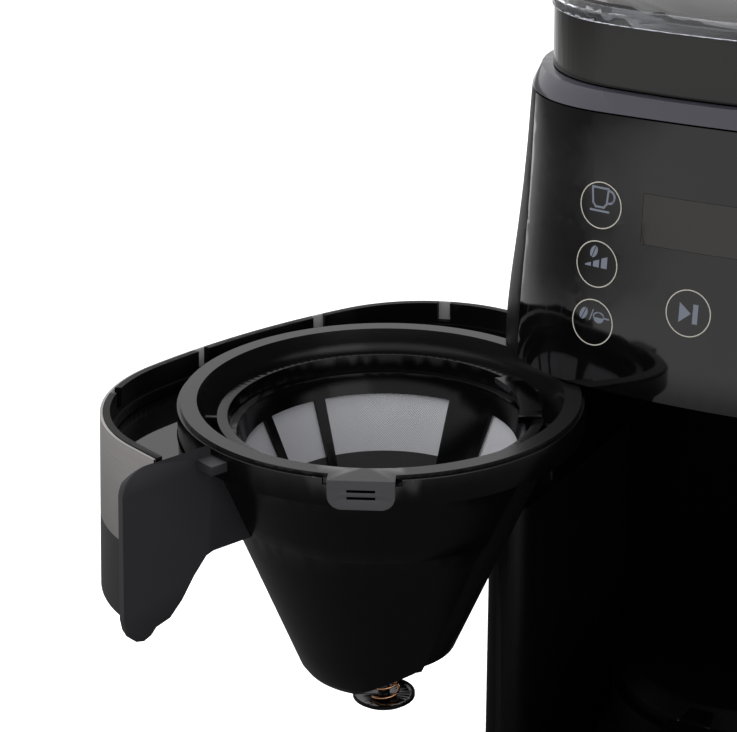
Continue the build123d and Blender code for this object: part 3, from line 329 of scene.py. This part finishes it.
# drawer, basket and filter
STEEL = brushed("band_steel", (0.27, 0.255, 0.25), (0.42, 0.40, 0.39), 0.3)
# painted reflection: a pale grey on the steel band's inner face, for the light the steel mirrors through the
# rim's notches
BAND_PAINTED_REFLECTION = plastic("band_inside_painted_reflection", (0.75, 0.73, 0.74), 0.5)
CHARCOAL = plastic("charcoal", (0.018, 0.0165, 0.0185), 0.5, depth=0.03 * MM, specular=0.25)
PLATE = plastic("plate_charcoal", (0.032, 0.030, 0.034), 0.45, depth=0.03 * MM, specular=0.25)
TRAY = plastic("tray_gloss", (0.003, 0.003, 0.0032), 0.03, 0.02, depth=0)
CRADLE = plastic("cradle_black", (0.0025, 0.0022, 0.0023), 0.22, specular=0.35)
RING = plastic("ring_black", (0.010, 0.0095, 0.0105), 0.16, 0.05, specular=0.3)
# painted highlight: the thumb tab's sides are a mid grey, lighter than the black ring, standing in for the
# highlights on the black tab
TAB_PAINTED_HIGHLIGHT = plastic("tab_painted_highlight", (0.085, 0.081, 0.090), 0.35)
BASKET = plastic("basket_black", (0.0015, 0.0015, 0.0018), 0.14, 0.05, specular=0.2)
MESH = woven(
    "filter_weave", (0.92, 0.92, 0.97), (0.42, 0.42, 0.45),
    (0.004, 0.0038, 0.0035), MESH_BOX[1][2] - MESH_SHOWN)
STOPPER = plastic("stopper_black", (0.002, 0.002, 0.002), 0.12, 0.05, depth=0)
COPPER = plastic("coppered_wire", (0.62, 0.33, 0.18), 0.25, 0.1, depth=0, metal=1.0)

# jug, works and underside
JUG = plastic("jug_black", (0.0015, 0.0015, 0.0015), 0.5, specular=0.04)
COATED = plastic("plate_coating", (0.002, 0.002, 0.002), 0.45, specular=0.1)
MACHINED = brushed("machined_steel", (0.4, 0.4, 0.41), (0.62, 0.62, 0.63), 0.28)
BOARD = plastic("board_green", (0.02, 0.12, 0.06), 0.35)
HOSE = plastic("silicone_hose", (0.55, 0.55, 0.52), 0.5)
RUBBER = plastic("foot_rubber", (0.02, 0.02, 0.02), 0.75, depth=0.06 * MM)

FINISH = {
    GLOSS: "front_panel touch_keys",
    SATIN: "base_housing tank_lid top_deck",
    HEAD: "head_housing",
    SHELL: "left_pillar right_pillar door_frame",
    BAY_PAINTED_SHADE: "column_housing shower_head coffee_chute",
    CHARCOAL: "lower_skirt base_cover cable_inlet",
    PLATE: "end_plate",
    CRADLE: "basket_cradle valve_seal",
    BASKET: "filter_frame",
    RING: "brew_basket",
    STOPPER: "valve_plunger",
    EDGE: "shoulder_ring",
    BAND: "collar",
    TRAY: "tray_plate",
    DISPLAY: "display_window display_module",
    RUBBER: "feet",
    HOSE: "inlet_hose riser_tube",
    BOARD: "control_board power_board board_standoffs",
    COPPER: "valve_spring",
    COATED: "warming_plate heater_element thermal_cutouts",
    STEEL: "steel_band",
    MACHINED: "hinge_pin carafe_lid_pin hopper_lid_pin tank_lid_pin base_screws "
              "grinder_shaft burr_housing grinder_motor upper_burr lower_burr",
    MESH: "filter_mesh",
    LID: "hopper_lid",
    SMOKE: "hopper water_tank",
    JUG: "carafe_body carafe_band carafe_handle carafe_lid",
}
FINISH_OF = {node: material for material, nodes in FINISH.items() for node in nodes.split()}

for node, thing in frame["nodes"].items():
    thing.data.materials.clear()
    thing.data.materials.append(FINISH_OF[node])


# ---------------- skins: smooth copies of the main pieces ----------------
def add_piece(name, mesh, body, material):
    """A new piece that moves with a body."""
    piece = bpy.data.objects.new(name, mesh)
    scene.collection.objects.link(piece)
    mesh.materials.clear()
    mesh.materials.append(material)
    mesh.polygons.foreach_set("use_smooth", [True] * len(mesh.polygons))
    mesh.set_sharp_from_angle(angle=CREASE)
    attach(piece, body)
    return piece


def body_of(node):
    return frame["nodes"][node]["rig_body"]


def soften(node, width):
    """A smooth copy of a node's shape with lightly broken edges, which stands for the node."""
    shape = bmesh.new()
    shape.from_mesh(frame["nodes"][node].data)
    bmesh.ops.remove_doubles(shape, verts=shape.verts, dist=WELD)
    mesh = bpy.data.meshes.new(node + "_skin")
    shape.to_mesh(mesh)
    shape.free()
    piece = add_piece(node + "_skin", mesh, body_of(node), FINISH_OF[node])
    if width:
        edge = piece.modifiers.new("broken_edges", "BEVEL")
        edge.width = width * MM
        edge.segments = 2
        edge.limit_method = "ANGLE"
        edge.angle_limit = CREASE
        edge.harden_normals = True
    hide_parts(node)
    return piece


EDGE_WIDTH = {
    "front_panel": 0.0, "head_housing": 0.3, "shoulder_ring": 0.6, "collar": 0.4, "tank_lid": 0.4,
    "hopper_lid": 0.5, "door_frame": 0.3, "steel_band": 0.0, "lower_skirt": 0.2, "tray_plate": 0.2,
    "end_plate": 0.6, "basket_cradle": 0.4, "brew_basket": 0.3, "filter_frame": 0.3, "valve_plunger": 0.3,
    "valve_spring": 0.0, "left_pillar": 0.5, "right_pillar": 0.5, "column_housing": 0.4,
    "base_housing": 0.8, "carafe_body": 0.0, "carafe_band": 0.6, "carafe_handle": 0.8, "carafe_lid": 0.6,
    "warming_plate": 0.3, "display_window": 0.0, "touch_keys": 0.0,
}
SKIN = {node: soften(node, width) for node, width in EDGE_WIDTH.items()}


# ---------------- second finishes on the skins ----------------
def paint(node, material, chosen):
    """Give the faces of a skin that pass a test a finish of their own."""
    mesh = SKIN[node].data
    mesh.materials.append(material)
    for face in mesh.polygons:
        if chosen(face):
            face.material_index = len(mesh.materials) - 1


def cut_level(node, height):
    """An edge loop round a skin at a height."""
    shape = bmesh.new()
    shape.from_mesh(SKIN[node].data)
    bmesh.ops.bisect_plane(shape, geom=shape.verts[:] + shape.edges[:] + shape.faces[:], dist=WELD,
                           plane_co=(0, 0, height), plane_no=(0, 0, 1))
    shape.to_mesh(SKIN[node].data)
    shape.free()


DRAWER_CENTRE = centre_of(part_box("tray_plate"))
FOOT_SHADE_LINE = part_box("collar")[0][2] + COLLAR_SHADE_HEIGHT
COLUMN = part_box("column_housing")
COLUMN_SIDE = COLUMN[1][0] - COLUMN_SHELL
COLUMN_REAR = COLUMN[1][1] - COLUMN_SHELL


def from_axis(face):
    """How far a face lies from the basket's upright axis."""
    return (face.center - AXIS).xy.length


def on_tab(face):
    return face.normal.z < 0.5 and from_axis(face) > TAB_START


def in_grip_slot(face):
    return abs(face.normal.z) < 0.1 and GRIP_FLOOR[0] < from_axis(face) < GRIP_FLOOR[1]


def on_column_outside(face):
    """The column's sides and back, as against the walls of the jug bay, which keep the painted shade."""
    at_back = face.normal.y > 0.2 and face.center.y > COLUMN_REAR
    at_side = face.normal.x * face.center.x > 0 and abs(face.center.x) > COLUMN_SIDE
    return at_back or at_side


def on_band_inside(face):
    """The band's inner face, which shows through the notches in the drawer's rim and gets a pale painted
    reflection.
    """
    return face.normal.xy.dot((face.center - DRAWER_CENTRE).xy) < -1e-4


paint("brew_basket", TAB_PAINTED_HIGHLIGHT, on_tab)
paint("brew_basket", PAINTED_GAP_SHADE, in_grip_slot)
# the shoulder's upward faces get the painted highlight
paint("shoulder_ring", SHOULDER_PAINTED_HIGHLIGHT, lambda face: face.normal.z > 0.3)
# the collar's lowest strip, at its joint with the shoulder, gets the painted shade
cut_level("collar", FOOT_SHADE_LINE)
paint("collar", PAINTED_GAP_SHADE, lambda face: face.center.z < FOOT_SHADE_LINE)
paint("column_housing", SATIN, on_column_outside)
paint("steel_band", BAND_PAINTED_REFLECTION, on_band_inside)


# ---------------- filter rim and drip-stop spring ----------------
def seat_filter_rim():
    """Widen the filter's rim a hair, so that it meets the basket's wall all round."""
    for vert in SKIN["filter_frame"].data.vertices:
        reach = (vert.co - AXIS).xy
        if reach.length > RIM_START:
            vert.co += (reach.normalized() * RIM_SPREAD).to_3d()


seat_filter_rim()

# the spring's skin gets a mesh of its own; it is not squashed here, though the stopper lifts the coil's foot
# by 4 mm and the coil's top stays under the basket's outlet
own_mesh(SKIN["valve_spring"])


# ---------------- panel prints ----------------
def islands(mesh):
    """Centre and half width of each separate solid of a mesh, in metres."""
    shape = bmesh.new()
    shape.from_mesh(mesh)
    bmesh.ops.remove_doubles(shape, verts=shape.verts, dist=WELD)
    left = set(shape.verts)
    found = []
    while left:
        stack = [left.pop()]
        group = list(stack)
        while stack:
            near = {vert for edge in stack.pop().link_edges for vert in edge.verts} & left
            left -= near
            stack += near
            group += near
        xs = [vert.co.x for vert in group]
        zs = [vert.co.z for vert in group]
        found.append(((max(xs) + min(xs)) / 2, (max(zs) + min(zs)) / 2, (max(xs) - min(xs)) / 2))
    shape.free()
    return sorted(found, key=lambda spot: (round(spot[0], 4), spot[1]))


def front_surface():
    """Everything on the panel's front that a print can lie on."""
    verts, faces = [], []
    for node in ("front_panel", "touch_keys", "display_window"):
        mesh = frame["nodes"][node].data
        base = len(verts)
        verts += [v.co.copy() for v in mesh.vertices]
        faces += [[base + i for i in poly.vertices] for poly in mesh.polygons]
    return BVHTree.FromPolygons(verts, faces)


FRONT = front_surface()


def on_panel(x, z):
    """The point a print covers, a hair in front of the panel."""
    hit = FRONT.ray_cast(Vector((x, BEFORE_PANEL, z)), Vector((0, 1, 0)))[0]
    return Vector((x, hit.y - PRINT_LIFT, z))


def dense(points):
    """A closed outline with enough points to follow the panel's curve."""
    close = []
    for (x0, z0), (x1, z1) in zip(points, points[1:] + points[:1]):
        count = max(1, int(math.hypot(x1 - x0, z1 - z0) / PRINT_STEP))
        close += [(x0 + (x1 - x0) * k / count, z0 + (z1 - z0) * k / count) for k in range(count)]
    return close


def print_shapes(name, shapes, material):
    """Flat prints from outlines in the panel's plane, laid on its curved surface."""
    sheet = bmesh.new()
    for points in shapes:
        face = sheet.faces.new([sheet.verts.new((x, 0, z)) for x, z in dense(points)])
        face.normal_update()
        if face.normal.y > 0:
            face.normal_flip()
    bmesh.ops.triangulate(sheet, faces=sheet.faces)
    for vert in sheet.verts:
        vert.co = on_panel(vert.co.x, vert.co.z)
    mesh = bpy.data.meshes.new(name)
    sheet.to_mesh(mesh)
    sheet.free()
    return add_piece(name, mesh, body_of("front_panel"), material)


def ring(x, z, outer, inner, count=72):
    """A ring as quads between two circles."""
    quads = []
    for k in range(count):
        a, b = 2 * math.pi * k / count, 2 * math.pi * (k + 1) / count
        quads.append([(x + r * math.cos(t), z + r * math.sin(t)) for r, t in
                      ((inner, a), (outer, a), (outer, b), (inner, b))])
    return quads


def stroke(points, width):
    """A line of even width as one quad per run, with square joints."""
    quads = []
    for (x0, z0), (x1, z1) in zip(points, points[1:]):
        length = math.hypot(x1 - x0, z1 - z0)
        dx, dz = (x1 - x0) / length * width / 2, (z1 - z0) / length * width / 2
        quads.append([(x0 - dx - dz, z0 - dz + dx), (x0 - dx + dz, z0 - dz - dx),
                      (x1 + dx + dz, z1 + dz - dx), (x1 + dx - dz, z1 + dz + dx)])
    return quads


def arc(x, z, rx, rz, start, end, count=20):
    turns = [math.radians(start + (end - start) * k / count) for k in range(count + 1)]
    return [(x + rx * math.cos(t), z + rz * math.sin(t)) for t in turns]


def bean(x, z, size, tilt):
    """A coffee bean: two halves of an oval with a gap between them."""
    halves = []
    for side in (0, 180):
        points = arc(0, 0, 0.62 * size, size, side - 84, side + 84)
        c, s = math.cos(math.radians(tilt)), math.sin(math.radians(tilt))
        halves.append([(x + px * c - pz * s, z + px * s + pz * c) for px, pz in points])
    return halves


def bar(k):
    """One of the rising strength bars, with a slanted top."""
    left, right, top = -3.9 + 2.7 * k, -1.9 + 2.7 * k, -0.5 + 1.2 * k
    return [(left, -0.9), (right, -0.9), (right, top + 0.8), (left, top)]


def placed(shapes, x, z, size):
    """A pictogram, drawn in millimetres round its key's centre, at a key and a size."""
    return [[(x + px * size * MM, z + pz * size * MM) for px, pz in shape] for shape in shapes]


LINE = 0.6
THICK = 0.8
CUP = (
    stroke([(-2.9, 5.0), (2.3, 5.0)], LINE)
    + stroke([(-2.9, 5.0), (-2.5, 0.6), (-1.6, -0.5)], LINE)
    + stroke([(2.3, 5.0), (1.9, 0.6), (1.0, -0.5), (-1.6, -0.5)], LINE)
    + stroke(arc(2.6, 2.7, 1.7, 1.8, -95, 95, 12), LINE)
    + stroke([(-3.2, -1.6), (2.6, -1.6)], LINE)
)
STRENGTH = bean(-1.2, 3.6, 1.9, -20) + [bar(k) for k in range(3)]
GROUND = (
    bean(-3.0, 2.2, 1.9, -25)
    + stroke([(-0.9, 0.7), (0.1, 3.7)], 0.35)
    + [arc(2.0, 1.7, 1.7, 1.6, 180, 360)]
    + stroke(arc(2.0, 1.9, 1.7, 1.3, 0, 180, 12), 0.4)
    + stroke([(3.6, 1.8), (5.2, 1.8)], 0.5)
)
PLAY = [[(-3.2, -3.4), (-3.2, 3.4), (1.0, 0)], [(1.6, -3.3), (1.6, 3.3), (3.4, 3.3), (3.4, -3.3)]]
MINUS = stroke([(-3, 0), (3, 0)], THICK)
PLUS = MINUS + stroke([(0, -3), (0, 3)], THICK)
CLOCK = ring(0, 0, 4.0, 3.3, 40) + stroke([(0, 2.2), (0, 0), (1.7, 0)], LINE)

# the left column from the bottom up, the start key, then the right column
PICTURES = [(GROUND, 1.3), (STRENGTH, 1.25), (CUP, 1.3), (PLAY, 1.1), (MINUS, 1.0), (PLUS, 1.0), (CLOCK, 1.0)]
keys = islands(frame["nodes"]["touch_keys"].data)
rings, icons = [], []
for (x, z, half), (picture, size) in zip(keys, PICTURES):
    rings += ring(x, z, half + RING_PAST_KEY, half - RING_INSIDE_KEY)
    icons += placed(picture, x, z, size)
print_shapes("key_rings", rings, PRINT)
print_shapes("key_pictograms", icons, ICON)


# ---------------- camera ----------------
VIEW_PLACE = (0.29799, -0.82778, 0.62802)
VIEW_TURN, VIEW_DOWN, VIEW_ROLL = 30.0, 21.57, -0.73
VIEW_LENS = 114.79


def make_camera():
    lens = bpy.data.cameras.new("view")
    lens.sensor_fit = "HORIZONTAL"
    lens.sensor_width = 36.0
    lens.lens = VIEW_LENS
    camera = bpy.data.objects.new("view", lens)
    scene.collection.objects.link(camera)
    turn = Matrix.Rotation(math.radians(VIEW_TURN), 4, "Z")
    tilt = Matrix.Rotation(math.radians(90.0 - VIEW_DOWN), 4, "X")
    roll = Matrix.Rotation(math.radians(VIEW_ROLL), 4, "Z")
    camera.matrix_world = Matrix.Translation(VIEW_PLACE) @ turn @ tilt @ roll
    scene.camera = camera


make_camera()


# ---------------- light ----------------
def area_light(name, place, aim, size, power):
    data = bpy.data.lights.new(name, "AREA")
    data.shape = "RECTANGLE"
    data.size = data.size_y = size
    data.energy = power
    lamp = bpy.data.objects.new(name, data)
    scene.collection.objects.link(lamp)
    lamp.location = place
    lamp.rotation_euler = (Vector(aim) - Vector(place)).to_track_quat("-Z", "Y").to_euler()
    return lamp


key_lamp = area_light("key", (-2.0, -0.7, 1.7), (-0.05, 0, 0.3), size=1.2, power=26)
key_lamp.visible_glossy = False
area_light("fill", (1.8, -1.4, 1.0), (0, 0, 0.3), size=1.4, power=5)
area_light("top", (-0.35, 0.4, 2.2), (0, 0, 0.3), size=1.6, power=18)


# ---------------- backdrop and floor ----------------
def by_ray(tree, plain, shown, mirrored):
    """A value for diffuse light, one for what the camera sees, and one for what glossy faces mirror."""
    path = tree.nodes.new("ShaderNodeLightPath")
    seen = math_node(tree, "MAXIMUM", path.outputs["Is Camera Ray"], path.outputs["Is Transmission Ray"])
    unseen = span(tree, path.outputs["Is Glossy Ray"], plain, mirrored)
    return span(tree, seen, unseen, shown)


def make_backdrop():
    world = bpy.data.worlds.new("studio")
    scene.world = world
    world.use_nodes = True
    sky = world.node_tree.nodes["Background"]
    sky.inputs["Color"].default_value = (1, 1, 1, 1)
    strength = by_ray(world.node_tree, plain=0.45, shown=1.0, mirrored=0.95)
    world.node_tree.links.new(strength, sky.inputs["Strength"])


def floor_glow_with_painted_shade(tree, place):
    """What glossy faces see of the floor's glow: painted shade close to the machine and far to its left, pale
    elsewhere.
    """
    reach = tree.nodes.new("ShaderNodeVectorMath")
    reach.operation = "LENGTH"
    tree.links.new(place, reach.inputs[0])
    across = tree.nodes.new("ShaderNodeSeparateXYZ")
    tree.links.new(place, across.inputs[0])
    side = ease(tree, across.outputs["X"], start=-2.0, end=-1.1, low=0.05, high=0.95)
    return ease(tree, reach.outputs["Value"], start=0.45, end=1.5, low=0.0, high=side)


def make_floor():
    ground = bmesh.new()
    bmesh.ops.create_grid(ground, x_segments=1, y_segments=1, size=6.0)
    mesh = bpy.data.meshes.new("floor")
    ground.to_mesh(mesh)
    ground.free()
    floor = bpy.data.objects.new("floor", mesh)
    scene.collection.objects.link(floor)
    material, tree, shader, place = start_material("pale_floor")
    # the floor's colour is much darker in what glossy faces mirror: painted shade in the reflections
    tree.links.new(by_ray(tree, plain=0.3, shown=0.86, mirrored=0.08), shader.inputs["Base Color"])
    shader.inputs["Roughness"].default_value = 0.9
    shader.inputs["Emission Color"].default_value = (1, 1, 1, 1)
    glow = by_ray(tree, plain=0.0, shown=0.75, mirrored=floor_glow_with_painted_shade(tree, place))
    tree.links.new(glow, shader.inputs["Emission Strength"])
    mesh.materials.append(material)
    return floor


make_backdrop()
floor = make_floor()
